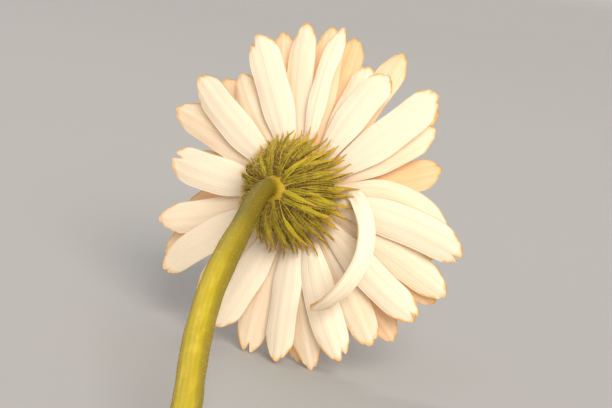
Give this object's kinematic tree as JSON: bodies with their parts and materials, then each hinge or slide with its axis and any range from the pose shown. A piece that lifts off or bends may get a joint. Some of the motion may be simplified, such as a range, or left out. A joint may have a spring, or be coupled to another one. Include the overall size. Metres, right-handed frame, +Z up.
{
  "type": "fleabane flower",
  "caption": "Picked daisy-like flower lying on its side: cream rays in overlapping rows, a hairy green bract cup, a yellow disc and a long smooth bent stem.",
  "frame": {"origin": "on the table, under the middle of the lying flower's box", "axes": "+Z up from the table; the stem runs forward along -Y and the flower's face looks away, roughly along +Y"},
  "size_m": [0.045, 0.141, 0.0494],
  "materials": {
    "ray": "thin soft cream petal, peach at the root and gold at the tip, matte and a little translucent",
    "bract": "hairy olive-green bract with a golden tip, matte",
    "receptacle": "olive-green flower cup, matte and downy",
    "disc_floret": "golden-yellow florets, matte",
    "stem": "smooth olive-yellow stem, satin and finely downy"
  },
  "bodies": {
    "root": {"receptacle": "receptacle", "bracts_inner": "bract", "bracts_middle": "bract", "bracts_outer": "bract", "disc_florets_inner": "disc_floret", "disc_florets_outer": "disc_floret", "ray_01": "ray", "ray_02": "ray", "ray_03": "ray", "ray_04": "ray", "ray_05": "ray", "ray_06": "ray", "ray_07": "ray", "ray_08": "ray", "ray_09": "ray", "ray_10": "ray", "ray_11": "ray", "ray_12": "ray", "ray_13": "ray", "ray_14": "ray", "ray_15": "ray", "ray_16": "ray", "ray_17": "ray", "ray_18": "ray", "ray_19": "ray", "ray_20": "ray", "ray_21": "ray", "ray_22": "ray", "ray_23": "ray", "ray_24": "ray", "ray_25": "ray", "ray_26": "ray", "ray_27": "ray", "ray_28": "ray", "ray_29": "ray", "ray_30": "ray", "ray_31": "ray", "ray_32": "ray", "ray_33": "ray", "ray_34": "ray", "ray_35": "ray", "ray_36": "ray", "ray_37": "ray", "ray_38": "ray", "ray_39": "ray", "ray_40": "ray", "ray_41": "ray", "ray_42": "ray", "ray_43": "ray", "ray_44": "ray", "ray_45": "ray", "ray_46": "ray", "ray_47": "ray", "ray_48": "ray", "ray_curled": "ray", "stem": "stem"}
  },
  "joints": []
}
